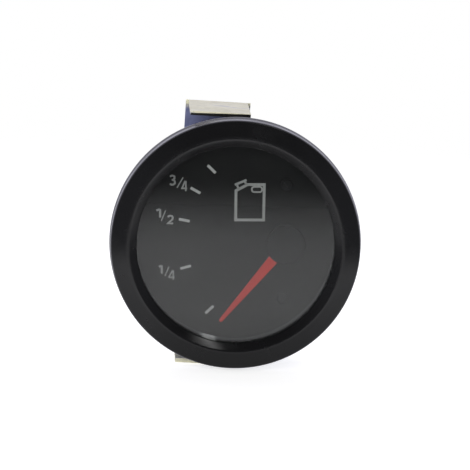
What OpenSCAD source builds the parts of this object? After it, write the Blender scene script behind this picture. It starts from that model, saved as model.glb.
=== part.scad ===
// Panel fuel gauge, 52 mm barrel, held by a rear bracket on two studs.
// Each piece is drawn as seen from the front: x to the right, y up and z
// towards the viewer, with z = 0 on the plane where the bezel meets the panel.
// seated() then stands the gauge up, so that the face looks along -Y and +Z is up.

/* [Bezel] */
// Reach of the bezel beyond the barrel
bezel_reach = 4; // [3.5:0.1:5]
// Height of the bezel's side wall
bezel_wall_h = 6.75; // [6.5:0.25:9]
// Width of the bezel's face from its rim to the crest
face_w = 4.5; // [3.8:0.1:5]
// Rise of the crest above the side wall
crest_rise = 1.4; // [0.8:0.1:2]
// Width of the lip from the crest to the sight opening
lip_w = 2; // [1.6:0.1:2.6]
// Drop from the crest to the edge of the sight opening
lip_drop = 2.4; // [1.8:0.1:2.6]
// Thickness of the bezel's sheet steel
bezel_t = 0.8; // [0.6:0.1:1]
// Radius of the bezel's front corner
bezel_corner_r = 1.8; // [1.2:0.1:2.2]
// Radius of the bead rolled round the bezel's back edge
bead_r = 0.9; // [0.8:0.05:1]
// Step of the bead beyond the side wall
bead_step = 0.3; // [0.2:0.05:0.4]

/* [Case] */
// Outer radius of the barrel that passes through the panel
case_r = 26; // [24:0.1:30]
// Depth of the case behind the panel's front
case_depth = 26.5; // [24:0.25:32]
// Thickness of the case's drawn steel
case_t = 0.6; // [0.5:0.1:0.8]
// Outer corner radius at the back of the case
case_corner_r = 2.5; // [1.5:0.25:4]

/* [Glass and dial] */
// Thickness of the glass
lens_t = 1.8; // [1.5:0.1:2.2]
// Clear height between the dial and the glass
dial_gap = 7; // [6.5:0.1:7.5]
// Thickness of the dial plate
dial_t = 1; // [0.5:0.1:1.2]
// Distance of the pointer's axis to the right of the gauge's axis
pivot_x = 12; // [11.4:0.1:13]
// Radius of a dial screw's head
screw_head_r = 1.45; // [1.2:0.05:1.8]

/* [Pointer] */
// Distance from the axis to the pointer's tip
pointer_len = 24.1; // [18:0.1:25.2]
// Width of the pointer where it leaves the cap
pointer_w = 2.4; // [1.6:0.1:3]
// Width of the pointer's tip
pointer_tip_w = 0.8; // [0.5:0.1:1.2]
// Thickness of the pointer's blade
pointer_t = 0.5; // [0.3:0.1:0.6]
// Angle of the resting pointer below the horizontal
pointer_rest = 51.4; // [44:0.1:54]
// Radius of the pointer's cap
cap_r = 4.7; // [4.5:0.1:6]
// Radius of the spindle
spindle_r = 0.5; // [0.4:0.05:0.6]

/* [Movement] */
// Thickness of each winding
coil_t = 1.2; // [0.8:0.1:1.3]
// Space between the steel shield cup and the barrel
shield_gap = 1.9; // [1:0.1:2.4]
// Thickness of the rotor magnet
rotor_t = 4.4; // [3:0.1:5]

/* [Bracket] */
// Distance of the bracket's centre line to the left of the gauge's axis
bracket_x = 5.2; // [4.4:0.1:6]
// Reach of the bracket's legs beyond the barrel
leg_reach = 4.4; // [3:0.2:7]
// Trim on each side of the legs, which are narrower than the back plate
leg_trim = 0.7; // [0.3:0.1:2]
// Thickness of the bracket's steel
bracket_t = 1; // [0.8:0.1:1.5]
// Space between the bezel's seat and the bracket's legs as shown
panel_gap = 4.5; // [4.3:0.1:5]
// Space between the case and the bracket's back plate as shown
plate_gap = 5; // [4.6:0.1:6]
// Lean of the bracket within the play of its holes
bracket_lean = 1.6; // [0:0.1:1.8]

/* [Studs and nuts] */
// Distance of each stud above and below the gauge's axis
stud_y = 13; // [11:0.25:15]
// Radius of the studs
stud_r = 2; // [1.5:0.1:2.1]
// Length of the studs behind the case
stud_len = 20; // [17:0.5:30]
// Radius of the knurled nuts
nut_r = 4.8; // [4.4:0.1:5.2]
// Length of the knurled nuts
nut_len = 7.2; // [5:0.2:7.4]
// Number of ridges round a nut
knurls = 30; // [16:1:36]

/* [Terminals and lamp] */
// Thickness of a terminal blade
blade_t = 0.8; // [0.5:0.1:1]
// Length of a terminal blade behind its insulator
blade_len = 9; // [7:0.5:12]
// Space between one blade and the next
blade_space = 0.9; // [0.7:0.1:2]
// Outer radius of the lamp holder's sleeve
lamp_r = 4.1; // [3.9:0.05:4.2]
// Radius of the bulb's glass
bulb_r = 3.1; // [2.5:0.1:3.2]

/* [Hidden] */
$fn = 96;

// Clearances and small sizes that several pieces share
run_gap = 0.05;      // round a shaft that turns
push_gap = 0.08;     // round a sleeve that pushes in
seat_gap = 0.2;      // between pieces that only lie beside each other
arc_steps = 6;       // straight steps in each rolled corner

// Heights from the panel's front, towards the viewer
lip_edge = 0.5;      // from the lip's edge down to the glass
crest_z = bezel_wall_h + crest_rise;
lens_top = crest_z - lip_drop - lip_edge;
lens_low = lens_top - lens_t;
dial_top = lens_low - dial_gap;
dial_low = dial_top - dial_t;
case_back = -case_depth;
case_floor = case_back + case_t;

// Radii that follow from the barrel and the bezel
collar_step = 0.5;   // of the collar beyond the barrel
flange_room = 0.3;   // round the case's flange inside the bezel
seal_wall = 1;       // of the seal round the glass
bezel_r = case_r + bezel_reach;
wall_r = bezel_r - bead_step;
crest_r = bezel_r - face_w;
sight_r = crest_r - lip_w;
bezel_in_r = wall_r - bezel_t;
collar_r = case_r + collar_step;
case_in_r = case_r - case_t;
flange_r = bezel_in_r - flange_room;
flange_top = bezel_t + case_t;
lens_r = bezel_in_r - seal_wall;
dial_r = case_in_r - seat_gap;

// Terminal blades, whose tails stand inside the case's back
blade_tail = 2.3;
tail_room = 1;       // from the tails to the shield cup

// Depths of the movement, which fills the case between the dial and the tails
bridge_t = 1;
bridge_room = 1.9;   // from the dial down to the bridge plate
front_room = 0.6;    // from the bridge plate to the windings
rear_room = 0.5;     // from the windings to the shield cup's floor
shield_t = 0.6;
winding_gap = 0.05;
bridge_top = dial_low - bridge_room;
bridge_low = bridge_top - bridge_t;
shield_back = case_back + blade_tail + tail_room;
outer_half = (bridge_low - front_room - shield_back - shield_t - rear_room) / 2;
inner_half = outer_half - 2 * winding_gap - coil_t;
former_d = 2 * (inner_half - winding_gap - coil_t);
move_z = bridge_low - front_room - outer_half;

// Plan of the movement, from the pointer's axis to the barrel
pillar_gap = 0.2;    // from the shield cup to the pillars
former_room = 0.6;   // from the former's corners to the shield cup
pillar_r = 2;
shield_r = case_in_r - pivot_x - shield_gap;
screw_y = shield_r + pillar_gap + pillar_r;
former_w = sqrt(2) * (shield_r - shield_t - former_room);
former_wall = 1.3;   // beside the rotor's cavity
cavity_room = 0.4;   // round the rotor
cavity_end = 0.5;    // before and behind the rotor
cavity_r = former_w / 2 - former_wall;
rotor_r = cavity_r - cavity_room;
cavity_half = rotor_t / 2 + cavity_end;
bearing_r = 1.5;
spindle_foot = 0.4;  // from the former's rear face up to the spindle's point
spindle_low = move_z - former_d / 2 + spindle_foot;
spindle_hole_r = spindle_r + run_gap;
bearing_room = 0.3;  // round the bearings in the windings
winding_hole_r = bearing_r + bearing_room;
magnet_r = 0.9;
magnet_inset = 1.6;
magnet_at = former_w / 2 - magnet_inset;
coil_w = 2 * (magnet_at - magnet_r);
pillar_nose_r = 1.4;
screw_shank_r = 0.8;
pillar_screw_r = 1.2;
pillar_head_r = 2.3;
pillar_head_h = 1.6;
thread_len = 5;      // of the screws at both ends of a pillar

// Terminals, which share the room between the pillar screws
head_gap = 0.4;      // from the screws' heads to the insulator
insulator_rim = 0.65; // beyond the outer blades
insulator_w = 7;
insulator_h = 2 * (screw_y - pillar_head_r - head_gap);
insulator_t = 2.2;
plug_w = 5;
plug_rim = 0.4;
plug_h = insulator_h - 2 * plug_rim;
plug_len = 1;        // inside the case's floor
blade_w = (insulator_h - 2 * insulator_rim - 2 * blade_space) / 3;
blade_pitch = blade_w + blade_space;

// Lamp, as near the barrel as its flange allows
lamp_flange_t = 0.8;
lamp_flange_w = 0.8;
lamp_flange_r = lamp_r + lamp_flange_w;
lamp_x = case_r - case_corner_r - lamp_flange_r;
lamp_wall = 0.5;
lamp_in_r = lamp_r - lamp_wall;
sleeve_in = 8.5;     // length of the sleeve inside the case
sleeve_out = 6.5;    // length of the sleeve behind it
lamp_nose = case_back + sleeve_in;
lamp_tail = case_back - sleeve_out;
bulb_gap = 0.12;
rivet_r = 0.8;       // of the centre contact
contact_h = 2.6;     // from the sleeve's end to the bulb's cap
disc_low = 0.3;      // from the sleeve's end to the insulating disc
disc_top = 1.5;      // from the sleeve's end to the disc's other face
base_in = 4.5;       // length of the bulb's cap inside the case
bulb_len = 9.5;
bulb_base_r = lamp_in_r - bulb_gap;
bulb_base_low = lamp_tail + contact_h;
bulb_base_top = case_back + base_in;
bulb_top = bulb_base_top + bulb_len;

// Bracket, studs and nuts, measured back from the panel's front
lamp_gap = 1.4;      // from the lamp's sleeve to the back plate
hole_play = 0.6;     // round the studs in the back plate
shoulder_w = 1.4;    // of the studs' heads and shoulders
bracket_span = 2 * (case_r + leg_reach);
plate_w = 2 * (lamp_x - lamp_r - lamp_gap - bracket_x);
plate_front = case_back - plate_gap;
plate_back = plate_front - bracket_t;
washer_t = 0.9;
nut_front = plate_back - washer_t;
nut_bore_r = stud_r + run_gap;
nut_collar_h = 1.2;
bracket_hole_r = stud_r + hole_play;
stud_head_r = stud_r + shoulder_w;
stud_head_h = 3.4;
stud_collar_h = 0.8;
inner_bend = 0.8;
bend_r = bracket_t + inner_bend;

// Board between the studs, beside the shield cup
board_gap = 0.9;     // from the board to the shield cup
board_side = 4.6;    // from the board to the lamp's sleeve
board_end = 4;       // of the board beyond each stud
resistor_gap = 5.5;  // from each stud to the resistor
board_t = 1;
board_low = case_floor + stud_head_h;
board_left = lamp_r + board_side - lamp_x;
board_w = pivot_x - shield_r - board_gap - board_left;
board_h = 2 * (stud_y + board_end);
resistor_r = 2.2;
resistor_len = 2 * (stud_y - resistor_gap);

// Colours
black_enamel = [0.08, 0.08, 0.085];
dial_black = [0.16, 0.16, 0.16];
zinc = [0.78, 0.78, 0.8];
brass = [0.8, 0.65, 0.3];
copper = [0.7, 0.38, 0.2];
nylon = [0.88, 0.86, 0.78];
steel = [0.6, 0.6, 0.62];

// Points of an arc round c, from angle a to angle b
function arc(c, r, a, b) =
    [for (i = [0 : arc_steps])
        let (w = a + (b - a) * i / arc_steps)
        [c[0] + r * cos(w), c[1] + r * sin(w)]];

// Stands a piece up, drawn as seen from the front
module seated() {
    rotate([90, 0, 0]) children();
}

// Solid of revolution from points [radius, height]
module turned(points) {
    rotate_extrude() polygon(points);
}

// Cylinder between two heights
module rod(r, low, high) {
    translate([0, 0, low]) cylinder(r = r, h = high - low);
}

// Box centred on x and y between two heights
module slab(w, h, low, high) {
    translate([-w / 2, -h / 2, low]) cube([w, h, high - low]);
}

// Places a piece above and below the axis
module both(x, y) {
    for (side = [-1, 1])
        translate([x, side * y, 0]) children();
}

// Centre of the bezel's front corner, and where its arc runs into the face
corner_c = [wall_r - bezel_corner_r, bezel_wall_h - bezel_corner_r];
corner_turn = 52;

// Top edge of the bezel's face, from the front corner to the crest
function face_points(lower) =
    let (r1 = corner_c[0] + (bezel_corner_r - lower) * cos(corner_turn),
        z1 = corner_c[1] + (bezel_corner_r - lower) * sin(corner_turn),
        z2 = crest_z - lower)
    [for (i = [1 : 8])
        let (s = i / 8)
        [r1 + (crest_r - r1) * s, z1 + (z2 - z1) * sin(90 * s)]];

// Rolled sheet ring that holds glass, seal and case flange together
module bezel() {
    edge_r = 0.25;
    crest_round = 0.8;
    fold_w = 0.9;
    bead_turn = acos(1 - bead_step / bead_r);
    outside = concat(
        [[collar_r + seat_gap, 0]],
        arc([bezel_r - bead_r, bead_r], bead_r, -90, bead_turn),
        arc(corner_c, bezel_corner_r, 0, corner_turn),
        face_points(0),
        arc([crest_r, crest_z - crest_round], crest_round, 90, 140),
        arc([sight_r + edge_r, crest_z - lip_drop], edge_r, 140, 180),
        [[sight_r, lens_top]]);
    inside = concat(
        [[sight_r + fold_w, lens_top]],
        [[crest_r - fold_w / 2, crest_z - fold_w - bezel_t]],
        [for (i = [7 : -1 : 0]) face_points(bezel_t)[i]],
        [[bezel_in_r, corner_c[1]]],
        [[bezel_in_r, bezel_t]],
        [[collar_r + seat_gap, bezel_t]]);
    color(black_enamel) seated() turned(concat(outside, inside));
}

// Flat glass with a ground edge
module lens() {
    chamfer = 0.2;
    color([0.8, 0.88, 0.9, 0.35]) seated()
        turned([[0, lens_low], [lens_r - chamfer, lens_low], [lens_r, lens_low + chamfer],
            [lens_r, lens_top - chamfer], [lens_r - chamfer, lens_top], [0, lens_top]]);
}

// Rubber ring between the case flange and the glass, turned up round its edge
module lens_seal() {
    wrap = 0.5;
    seal_out = bezel_in_r - run_gap;
    seal_in = collar_r - seat_gap;
    color([0.12, 0.12, 0.12]) seated()
        turned([[seal_in, flange_top], [seal_out, flange_top], [seal_out, lens_top - wrap],
            [lens_r, lens_top - wrap], [lens_r, lens_low], [seal_in, lens_low]]);
}

// Black ring that keeps the glass off the dial, flared towards the viewer
module spacer_ring() {
    foot_w = 1.1;
    foot_h = 0.8;
    top_w = 0.7;
    color(black_enamel) seated()
        turned([[dial_r - foot_w, dial_top], [dial_r, dial_top], [dial_r, lens_low],
            [dial_r - top_w, lens_low], [dial_r - foot_w, dial_top + foot_h]]);
}

// Aluminium dial with holes for the spindle and its two screws
module dial_plate() {
    hole_r = 2.2;
    color(dial_black) seated()
        difference() {
            rod(dial_r, dial_low, dial_top);
            translate([pivot_x, 0, 0]) rod(hole_r, dial_low - 1, dial_top + 1);
            both(pivot_x, screw_y) rod(screw_shank_r, dial_low - 1, dial_top + 1);
        }
}

// Slotted screw with a low domed head
module slotted_screw(head_r, head_h, shank_r, shank_len) {
    slot_w = head_r * 0.3;
    difference() {
        union() {
            turned([[0, 0], [head_r, 0], [head_r, head_h * 0.55],
                [head_r * 0.8, head_h * 0.88], [head_r * 0.4, head_h], [0, head_h]]);
            rod(shank_r, -shank_len, 0.1);
        }
        slab(slot_w, 3 * head_r, head_h * 0.5, head_h * 2);
    }
}

// Two screws through the dial into the pillars
module dial_screws() {
    head_h = 0.7;
    color(black_enamel) seated()
        both(pivot_x, screw_y) translate([0, 0, dial_top])
            rotate([0, 0, 35]) slotted_screw(screw_head_r, head_h, screw_shank_r, thread_len);
}

// Drawn steel cup: flange, collar, barrel and pierced back
module case_shell() {
    inner_corner = case_corner_r - case_t;
    profile = concat(
        [[0, case_back]],
        arc([case_r - case_corner_r, case_back + case_corner_r], case_corner_r, -90, 0),
        [[case_r, 0], [collar_r, 0], [collar_r, bezel_t], [flange_r, bezel_t],
            [flange_r, flange_top], [collar_r - case_t, flange_top],
            [collar_r - case_t, case_t / 2], [case_in_r, -case_t / 2]],
        arc([case_in_r - inner_corner, case_floor + inner_corner], inner_corner, 0, -90),
        [[0, case_floor]]);
    low = case_back - 1;
    high = case_floor + 1;
    color(steel) seated()
        difference() {
            turned(profile);
            translate([-lamp_x, 0, 0]) rod(lamp_r + push_gap, low, high);
            both(-bracket_x, stud_y) rod(stud_r, low, high);
            both(pivot_x, screw_y) rod(pillar_screw_r + push_gap, low, high);
            translate([pivot_x, 0, 0]) slab(plug_w, plug_h, low, high);
        }
}

// Plate across the front of the movement, with an ear at each pillar
module bridge_plate() {
    ear_r = 3.2;
    rim = 1.5;
    hole_r = 1.5;
    hole_x = magnet_at;
    color(brass) seated()
        difference() {
            translate([pivot_x, 0, 0]) union() {
                rod(shield_r - rim, bridge_low, bridge_top);
                slab(2 * ear_r, 2 * screw_y, bridge_low, bridge_top);
                both(0, screw_y) rod(ear_r, bridge_low, bridge_top);
            }
            translate([pivot_x, 0, 0]) rod(bearing_r, bridge_low - 1, bridge_top + 1);
            both(pivot_x, screw_y) rod(pillar_nose_r, bridge_low - 1, bridge_top + 1);
            for (side = [-1, 1])
                translate([pivot_x + side * hole_x, 0, 0])
                    rod(hole_r, bridge_low - 1, bridge_top + 1);
        }
}

// Two stepped pillars from the case's back to the dial
module movement_pillars() {
    color(brass) seated()
        both(pivot_x, screw_y)
            difference() {
                turned([[0, case_floor], [pillar_r, case_floor], [pillar_r, bridge_low],
                    [pillar_nose_r, bridge_low], [pillar_nose_r, dial_low], [0, dial_low]]);
                rod(screw_shank_r, dial_low - thread_len, dial_low + 1);
                rod(pillar_screw_r, case_floor - 1, case_floor + thread_len);
            }
}

// Two cheese head screws from outside the back into the pillars
module pillar_screws() {
    color(zinc) seated()
        both(pivot_x, screw_y) translate([0, 0, case_back]) rotate([180, 0, 0])
            rotate([0, 0, 20]) slotted_screw(pillar_head_r, pillar_head_h, pillar_screw_r,
                case_t + thread_len);
}

// Half of the moulded former, open towards the middle of the movement
module former_half(front) {
    low = front ? 0 : -former_d / 2;
    high = front ? former_d / 2 : 0;
    translate([pivot_x, 0, move_z])
        difference() {
            slab(former_w, former_w, low, high);
            rod(cavity_r, -cavity_half, cavity_half);
            rod(bearing_r, -former_d, former_d);
            for (side = [-1, 1])
                translate([side * magnet_at, magnet_at, 0]) rod(magnet_r, low - 1, high + 1);
        }
}

// Front half of the former
module front_former() {
    color(nylon) seated() former_half(true);
}

// Rear half of the former
module rear_former() {
    color(nylon) seated() former_half(false);
}

// Winding wrapped round a block, with an eye for the bearing
module winding(span, half_depth, turn) {
    opening = span + 2 * winding_gap;
    translate([pivot_x, 0, move_z]) rotate([0, 0, turn])
        difference() {
            slab(opening + 2 * coil_t, coil_w, -half_depth, half_depth);
            slab(opening, coil_w + 1, coil_t - half_depth, half_depth - coil_t);
            rod(winding_hole_r, -half_depth - 1, half_depth + 1);
        }
}

// Winding next to the former, fed from the supply
module inner_winding() {
    color(copper) seated() winding(former_w, inner_half, 90);
}

// Winding crossed over the first one, fed from the sender
module outer_winding() {
    color(copper) seated() winding(former_w, outer_half, 0);
}

// Mild steel cup that screens the windings
module shield_cup() {
    corner = 1;
    floor = shield_back + shield_t;
    in_r = shield_r - shield_t;
    color(steel) seated() translate([pivot_x, 0, 0])
        turned([[0, shield_back], [shield_r - corner, shield_back],
            [shield_r, shield_back + corner], [shield_r, bridge_low], [in_r, bridge_low],
            [in_r, floor + corner * 0.6], [in_r - corner * 0.6, floor], [0, floor]]);
}

// Bush through the bridge plate that carries the front of the spindle
module front_bearing() {
    head = 0.6;
    color(brass) seated() translate([pivot_x, 0, 0])
        difference() {
            union() {
                rod(bearing_r, move_z + cavity_half, bridge_top);
                rod(bearing_r + head, bridge_top, bridge_top + head);
            }
            rod(spindle_hole_r, move_z, dial_top);
        }
}

// Jewel screw that carries the spindle's rear point
module rear_bearing() {
    top = move_z - cavity_half;
    pit = 0.3;
    color(brass) seated() translate([pivot_x, 0, 0])
        difference() {
            rod(bearing_r, shield_back + shield_t, top);
            rod(spindle_hole_r, spindle_low - pit, top + 1);
        }
}

// Two small rods in the former's corners that draw the pointer back to rest
module return_magnet() {
    rod_low = -2.5;
    slip = 0.02;
    color([0.35, 0.35, 0.37]) seated() translate([pivot_x, 0, move_z])
        for (side = [-1, 1])
            translate([side * magnet_at, magnet_at, 0])
                rod(magnet_r - slip, rod_low, former_d / 2);
}

// Fibre board carried on the studs' inner heads
module circuit_board() {
    color([0.45, 0.3, 0.12]) seated()
        difference() {
            translate([board_left + board_w / 2, 0, 0])
                slab(board_w, board_h, board_low, board_low + board_t);
            both(-bracket_x, stud_y) rod(pillar_screw_r, board_low - 1, board_low + 3);
        }
}

// Wire wound resistor with end caps and two legs in the board
module series_resistor() {
    cap_len = 2;
    leg_r = 0.4;
    top = board_low + board_t;
    reach = resistor_len / 2;
    color([0.75, 0.68, 0.55]) seated() translate([-bracket_x, 0, top + resistor_r + seat_gap]) {
        rotate([90, 0, 0]) rod(resistor_r - seat_gap, -reach, reach);
        for (side = [-1, 1])
            rotate([90 * side, 0, 0]) rod(resistor_r, reach - cap_len, reach);
        for (side = [-1, 1])
            translate([0, side * (reach - cap_len / 2), 0])
                rod(leg_r, -resistor_r - seat_gap, -resistor_r / 2);
    }
}

// Two threaded studs headed inside the case, with a shoulder outside
module mounting_studs() {
    tip = 0.5;
    rivet = board_low + board_t + 0.6;
    color(zinc) seated()
        both(-bracket_x, stud_y)
            turned([[0, case_back - stud_len], [stud_r - tip, case_back - stud_len],
                [stud_r, case_back - stud_len + tip], [stud_r, case_back - stud_collar_h],
                [stud_head_r, case_back - stud_collar_h], [stud_head_r, case_back],
                [stud_r, case_back], [stud_r, case_floor], [stud_head_r, case_floor],
                [stud_head_r, board_low], [pillar_screw_r, board_low],
                [pillar_screw_r, rivet], [0, rivet]]);
}

// Moulded block that carries the three blades through the case
module terminal_insulator() {
    groove = 0.8;
    color([0.13, 0.12, 0.12]) seated() translate([pivot_x, 0, 0])
        difference() {
            union() {
                slab(insulator_w, insulator_h, case_back - insulator_t, case_back);
                slab(plug_w, plug_h, case_back, case_floor + plug_len);
            }
            for (i = [-1 : 1])
                translate([0, i * blade_pitch, 0])
                    slab(blade_t, blade_w, case_back - insulator_t - 1, case_floor + 2 * plug_len);
            for (i = [-1, 1], side = [-1, 1])
                translate([side * insulator_w / 2, i * blade_pitch / 2, 0])
                    slab(groove, groove / 2, case_back - insulator_t - 1, case_back - groove);
        }
}

// Flat push-on blade with a chamfered end and a catch hole
module blade(i) {
    tip = case_back - insulator_t - blade_len;
    tail = case_back + blade_tail;
    nib = 1;
    catch_r = 0.85;
    catch_at = 3.6;
    color(brass) seated() translate([pivot_x, i * blade_pitch, 0])
        difference() {
            rotate([90, 0, 90]) translate([0, 0, -blade_t / 2])
                linear_extrude(blade_t)
                    polygon([[-blade_w / 2 + nib, tip], [blade_w / 2 - nib, tip],
                        [blade_w / 2, tip + nib], [blade_w / 2, tail],
                        [-blade_w / 2, tail], [-blade_w / 2, tip + nib]]);
            translate([0, 0, tip + catch_at]) rotate([0, 90, 0])
                cylinder(r = catch_r, h = 2 * blade_t, center = true);
        }
}

// Uppermost blade, for the switched supply
module supply_blade() {
    blade(1);
}

// Middle blade, for the tank sender
module sender_blade() {
    blade(0);
}

// Lowest blade, for earth
module earth_blade() {
    blade(-1);
}

// Heights of the pointer's parts above the dial
hub_room = 4;        // from the dial up to the cap
glass_room = 0.35;   // from the cap up to the glass
skirt_t = 0.9;       // of the cap's wall
skirt_h = 1.6;       // from the cap's foot up to the blade
hub_low = dial_top + hub_room;
cap_top = lens_low - glass_room;
cap_inner_r = cap_r - skirt_t;
blade_low = hub_low + skirt_h;
blade_high = blade_low + pointer_t;

// Turns a piece from the left horizontal to the pointer's rest
module at_rest() {
    translate([pivot_x, 0, 0]) rotate([0, 0, 180 + pointer_rest]) children();
}

// Tapered blade on a small ring
module pointer() {
    ring_r = 2.2;
    flare = 0.1;
    nib = 0.3;
    color([0.8, 0.15, 0.1]) seated() at_rest()
        difference() {
            union() {
                translate([0, 0, blade_low]) linear_extrude(pointer_t)
                    polygon([[0, -pointer_w / 2 - flare], [cap_r, -pointer_w / 2],
                        [pointer_len - nib, -pointer_tip_w / 2],
                        [pointer_len, -pointer_tip_w / 4], [pointer_len, pointer_tip_w / 4],
                        [pointer_len - nib, pointer_tip_w / 2], [cap_r, pointer_w / 2],
                        [0, pointer_w / 2 + flare]]);
                rod(ring_r, hub_low, blade_high);
            }
            rod(spindle_r, hub_low - 1, blade_high + 1);
        }
}

// Hollow cap over the pointer's ring, slotted for the blade
module pointer_cap() {
    round_r = 0.5;
    draft = 0.1;
    notch_w = pointer_w + 2 * draft;
    color([0.25, 0.25, 0.25]) seated() at_rest()
        difference() {
            turned(concat(
                [[cap_inner_r, hub_low], [cap_r - draft, hub_low]],
                arc([cap_r - round_r, cap_top - round_r], round_r, 0, 90),
                [[0, cap_top], [0, blade_high], [cap_inner_r, blade_high]]));
            translate([0, -notch_w / 2, hub_low - 1])
                cube([cap_r + 1, notch_w, blade_high - hub_low + 1]);
        }
}

// Steel spindle from the rear jewel to the pointer
module spindle() {
    point = 0.15;
    color(steel) seated() translate([pivot_x, 0, 0])
        turned([[0, spindle_low - point], [spindle_r * 0.4, spindle_low],
            [spindle_r, spindle_low + spindle_r], [spindle_r, blade_high], [0, blade_high]]);
}

// Disc magnet fixed on the spindle
module rotor_magnet() {
    color([0.3, 0.3, 0.32]) seated() translate([pivot_x, 0, move_z])
        difference() {
            rod(rotor_r, -rotor_t / 2, rotor_t / 2);
            rod(spindle_r, -rotor_t, rotor_t);
        }
}

// Section of the bracket's strip: two legs, two bends and the back plate
module strip_section() {
    half = bracket_span / 2;
    foot = -panel_gap;
    right_out = arc([half - bend_r, plate_back + bend_r], bend_r, -90, 0);
    left_out = arc([bend_r - half, plate_back + bend_r], bend_r, 180, 270);
    right_in = arc([half - bend_r, plate_back + bend_r], inner_bend, 0, -90);
    left_in = arc([bend_r - half, plate_back + bend_r], inner_bend, 270, 180);
    polygon(concat(left_out, right_out, [[half, foot], [half - bracket_t, foot]],
        right_in, left_in, [[bracket_t - half, foot], [-half, foot]]));
}

// Sheet steel bracket that pulls the gauge against the panel
module bracket() {
    half = bracket_span / 2;
    color(zinc) seated() translate([-bracket_x, 0, 0]) rotate([0, 0, -bracket_lean])
        difference() {
            rotate([90, 0, 90]) translate([0, 0, -plate_w / 2])
                linear_extrude(plate_w) strip_section();
            for (side = [-1, 1], end = [-1, 1])
                translate([side * plate_w / 2, end * half, (plate_back + bend_r) / 2])
                    cube([2 * leg_trim, 4 * bend_r, -plate_back - bend_r], center = true);
            both(0, stud_y) rod(bracket_hole_r, plate_back - 1, plate_front + 1);
        }
}

// Split spring washers under the nuts
module lock_washers() {
    split_w = 0.7;
    inner_r = stud_r + seat_gap;
    outer_r = inner_r + shoulder_w;
    color(zinc) seated()
        both(-bracket_x, stud_y)
            difference() {
                rod(outer_r, nut_front, plate_back);
                rod(inner_r, nut_front - 1, plate_back + 1);
                rotate([0, 0, 60]) translate([0, -split_w / 2, nut_front - 1])
                    cube([outer_r + 1, split_w, washer_t + 2]);
            }
}

// Finger nut: plain collar, knurled body and threaded bore
module knurled_nut(side) {
    low = nut_front - nut_len;
    body_top = nut_front - nut_collar_h;
    depth = 0.35;
    edge = 0.5;
    collar_in = 1.1;
    ridges = [for (i = [0 : 2 * knurls - 1])
        let (r = i % 2 == 0 ? nut_r : nut_r - depth, w = i * 180 / knurls)
        [r * cos(w), r * sin(w)]];
    color(brass) seated() translate([-bracket_x, side * stud_y, 0])
        difference() {
            union() {
                rod(nut_r - collar_in, body_top - edge / 5, nut_front);
                intersection() {
                    translate([0, 0, low]) linear_extrude(body_top - low) polygon(ridges);
                    turned([[0, low], [nut_r - edge, low], [nut_r + edge, low + 2 * edge],
                        [nut_r + edge, body_top - 2 * edge], [nut_r - edge, body_top],
                        [0, body_top]]);
                }
            }
            rod(nut_bore_r, low - 1, nut_front + 1);
        }
}

// Nut on the upper stud
module upper_nut() {
    knurled_nut(1);
}

// Nut on the lower stud
module lower_nut() {
    knurled_nut(-1);
}

// Plated sleeve that pushes into the case and holds the bulb
module lamp_shell() {
    slot_w = 1.2;
    bayonet_slot = 3.2;
    spring_slot = 4;
    nose = 0.3;
    slot_low = bulb_base_top - bayonet_slot;
    low = case_back - lamp_flange_t;
    color(zinc) seated() translate([-lamp_x, 0, 0])
        difference() {
            turned([[lamp_in_r, lamp_tail], [lamp_r, lamp_tail], [lamp_r, low],
                [lamp_flange_r, low], [lamp_flange_r, case_back], [lamp_r, case_back],
                [lamp_r, lamp_nose - 2 * nose], [lamp_r - nose, lamp_nose], [lamp_in_r, lamp_nose]]);
            for (turn = [0, 90])
                rotate([0, 0, turn])
                    slab(slot_w, 4 * lamp_r, turn == 0 ? slot_low : lamp_nose - spring_slot,
                        lamp_nose + 1);
        }
}

// Fibre disc that keeps the centre contact off the shell
module lamp_insulator() {
    color([0.5, 0.3, 0.15]) seated() translate([-lamp_x, 0, 0])
        difference() {
            rod(lamp_in_r, lamp_tail + disc_low, lamp_tail + disc_top);
            rod(rivet_r, lamp_tail - 1, lamp_tail + 2 * disc_top);
        }
}

// Centre contact with a solder tag behind the holder
module lamp_contact() {
    tag_len = 4.2;
    tag_t = 0.5;
    tag_w = 2.8;
    head_h = 0.6;
    head_r = 2 * rivet_r;
    color(brass) seated() translate([-lamp_x, 0, 0])
        union() {
            rod(head_r, lamp_tail + disc_top, bulb_base_low);
            rod(rivet_r, lamp_tail - head_h, bulb_base_low);
            rod(head_r, lamp_tail - head_h, lamp_tail + disc_low);
            slab(tag_t, tag_w, lamp_tail - tag_len, lamp_tail);
        }
}

// Bulb's brass cap with its two bayonet pins
module bulb_base() {
    pin_r = 0.5;
    pin_at = 2.6;
    shoulder = 1.2;
    color(brass) seated() translate([-lamp_x, 0, 0])
        union() {
            turned([[0, bulb_base_low], [2 * rivet_r, bulb_base_low],
                [bulb_base_r, bulb_base_low + shoulder], [bulb_base_r, bulb_base_top],
                [0, bulb_base_top]]);
            translate([0, 0, bulb_base_top - pin_at]) rotate([90, 0, 0])
                rod(pin_r, seat_gap - lamp_r, lamp_r - seat_gap);
        }
}

// Glass envelope with a round end
module bulb_glass() {
    color([0.95, 0.93, 0.85, 0.4]) seated() translate([-lamp_x, 0, 0])
        turned(concat([[0, bulb_base_top], [bulb_r * 0.8, bulb_base_top],
                [bulb_r, bulb_base_top + bulb_r / 2]],
            arc([0, bulb_top - bulb_r], bulb_r, 0, 90)));
}

bezel();
lens();
lens_seal();
spacer_ring();
dial_plate();
dial_screws();
case_shell();
bridge_plate();
movement_pillars();
pillar_screws();
front_former();
rear_former();
inner_winding();
outer_winding();
shield_cup();
front_bearing();
rear_bearing();
return_magnet();
circuit_board();
series_resistor();
mounting_studs();
terminal_insulator();
supply_blade();
sender_blade();
earth_blade();
pointer();
pointer_cap();
spindle();
rotor_magnet();
bracket();
lock_washers();
upper_nut();
lower_nut();
lamp_shell();
lamp_insulator();
lamp_contact();
bulb_base();
bulb_glass();
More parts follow.
